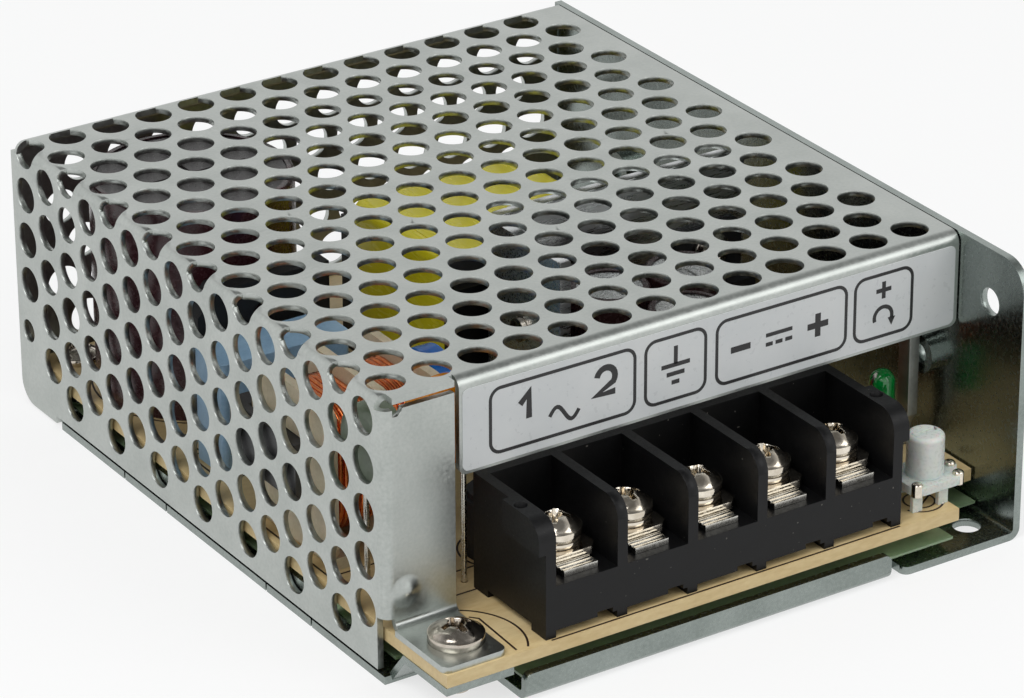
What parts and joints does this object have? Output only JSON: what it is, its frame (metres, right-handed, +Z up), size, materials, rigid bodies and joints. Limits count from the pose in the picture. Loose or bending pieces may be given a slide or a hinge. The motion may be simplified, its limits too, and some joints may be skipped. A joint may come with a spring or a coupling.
{
  "type": "mesh case switching power supply",
  "caption": "Open-front switching power supply: folded steel chassis, perforated folded cover, screw terminal block, output adjuster and the populated circuit board.",
  "frame": {"origin": "centre of the underside, midway between the case's sides and between its ends", "axes": "+X to the right across the terminals, +Y from the terminals to the rear wall, +Z up"},
  "size_m": [0.082, 0.099, 0.036],
  "materials": {
    "galvanised_steel": "zinc-coated sheet, fine grain",
    "nickel_steel": "bright plated",
    "zinc_screw": "bright zinc plated",
    "phenolic_board": "semi-matt laminate",
    "insulating_film": "thin translucent film",
    "black_moulding": "satin moulded",
    "tinned_brass": "tin plated",
    "cream_moulding": "satin moulded",
    "milky_moulding": "milky white",
    "green_lens": "clear tinted epoxy",
    "ferrite": "matt ferrite",
    "bobbin_moulding": "matt moulded",
    "enamelled_copper": "enamelled copper wire",
    "pale_blue_case": "satin moulded",
    "black_epoxy": "matt epoxy",
    "can_aluminium": "bright",
    "grey_can": "dull grey",
    "maroon_sleeve": "shrunk film",
    "brown_sleeve": "shrunk film",
    "grey_green_disc": "matt coating",
    "orange_disc": "satin coating",
    "blue_disc": "satin coating",
    "yellow_tape": "polyester tape",
    "spreader_aluminium": "mill finish",
    "beige_bodies": "lacquered",
    "white_package": "matt moulded"
  },
  "bodies": {
    "case": {"chassis": "galvanised_steel", "mesh_cover": "galvanised_steel", "circuit_board": "phenolic_board", "insulating_film": "insulating_film", "cover_screw": "zinc_screw", "board_screws": "zinc_screw", "terminal_housing": "black_moulding", "terminal_plates": "tinned_brass", "adjuster_body": "cream_moulding", "status_led": "green_lens", "earth_strap": "galvanised_steel", "choke_core": "ferrite", "choke_bobbin": "bobbin_moulding", "choke_windings": "enamelled_copper", "line_capacitor": "pale_blue_case", "bridge_rectifier": "black_epoxy", "bulk_can": "grey_can", "bulk_sleeve": "maroon_sleeve", "thermistor": "grey_green_disc", "varistor": "orange_disc", "fuse": "black_moulding", "disc_capacitors": "blue_disc", "transformer_core": "ferrite", "transformer_bobbin": "black_moulding", "transformer_tape": "yellow_tape", "heat_spreader": "spreader_aluminium", "switch_transistor": "black_epoxy", "output_rectifier": "black_epoxy", "device_screws": "zinc_screw", "output_can_1": "can_aluminium", "output_can_2": "can_aluminium", "output_can_3": "can_aluminium", "output_sleeve_1": "brown_sleeve", "output_sleeve_2": "brown_sleeve", "output_sleeve_3": "brown_sleeve", "output_choke_core": "ferrite", "output_choke_winding": "enamelled_copper", "optocoupler": "white_package", "control_chip": "black_epoxy", "resistors": "beige_bodies"},
    "clamp_1": {"clamp_plate_1": "nickel_steel", "lock_washer_1": "nickel_steel"},
    "clamp_2": {"clamp_plate_2": "nickel_steel", "lock_washer_2": "nickel_steel"},
    "clamp_3": {"clamp_plate_3": "nickel_steel", "lock_washer_3": "nickel_steel"},
    "clamp_4": {"clamp_plate_4": "nickel_steel", "lock_washer_4": "nickel_steel"},
    "clamp_5": {"clamp_plate_5": "nickel_steel", "lock_washer_5": "nickel_steel"},
    "screw_1": {"terminal_screw_1": "nickel_steel"},
    "screw_2": {"terminal_screw_2": "nickel_steel"},
    "screw_3": {"terminal_screw_3": "nickel_steel"},
    "screw_4": {"terminal_screw_4": "nickel_steel"},
    "screw_5": {"terminal_screw_5": "nickel_steel"},
    "adjuster": {"adjuster_knob": "milky_moulding"}
  },
  "joints": [
    {"name": "clamp_1_lift", "type": "slide", "parent": "case", "child": "clamp_1", "axis": [0, 0, 1], "range_m": [0, 0.0024]},
    {"name": "screw_1_turn", "type": "hinge", "parent": "clamp_1", "child": "screw_1", "pos_m": [-0.02072, -0.0417, 0.0155], "axis": [0, 0, 1], "range_deg": [0, 1440]},
    {"name": "clamp_2_lift", "type": "slide", "parent": "case", "child": "clamp_2", "axis": [0, 0, 1], "range_m": [0, 0.0024]},
    {"name": "screw_2_turn", "type": "hinge", "parent": "clamp_2", "child": "screw_2", "pos_m": [-0.01096, -0.0417, 0.0155], "axis": [0, 0, 1], "range_deg": [0, 1440]},
    {"name": "clamp_3_lift", "type": "slide", "parent": "case", "child": "clamp_3", "axis": [0, 0, 1], "range_m": [0, 0.0024]},
    {"name": "screw_3_turn", "type": "hinge", "parent": "clamp_3", "child": "screw_3", "pos_m": [-0.0012, -0.0417, 0.0155], "axis": [0, 0, 1], "range_deg": [0, 1440]},
    {"name": "clamp_4_lift", "type": "slide", "parent": "case", "child": "clamp_4", "axis": [0, 0, 1], "range_m": [0, 0.0024]},
    {"name": "screw_4_turn", "type": "hinge", "parent": "clamp_4", "child": "screw_4", "pos_m": [0.00856, -0.0417, 0.0155], "axis": [0, 0, 1], "range_deg": [0, 1440]},
    {"name": "clamp_5_lift", "type": "slide", "parent": "case", "child": "clamp_5", "axis": [0, 0, 1], "range_m": [0, 0.0024]},
    {"name": "screw_5_turn", "type": "hinge", "parent": "clamp_5", "child": "screw_5", "pos_m": [0.01832, -0.0417, 0.0155], "axis": [0, 0, 1], "range_deg": [0, 1440]},
    {"name": "adjuster_turn", "type": "hinge", "parent": "case", "child": "adjuster", "pos_m": [0.0304, -0.0442, 0.012], "axis": [0, 0, 1], "range_deg": [-135, 135]}
  ],
  "couplings": [
    {"joint": "screw_1_turn", "follows": "clamp_1_lift", "rad_per_m": 10472},
    {"joint": "screw_2_turn", "follows": "clamp_2_lift", "rad_per_m": 10472},
    {"joint": "screw_3_turn", "follows": "clamp_3_lift", "rad_per_m": 10472},
    {"joint": "screw_4_turn", "follows": "clamp_4_lift", "rad_per_m": 10472},
    {"joint": "screw_5_turn", "follows": "clamp_5_lift", "rad_per_m": 10472}
  ]
}
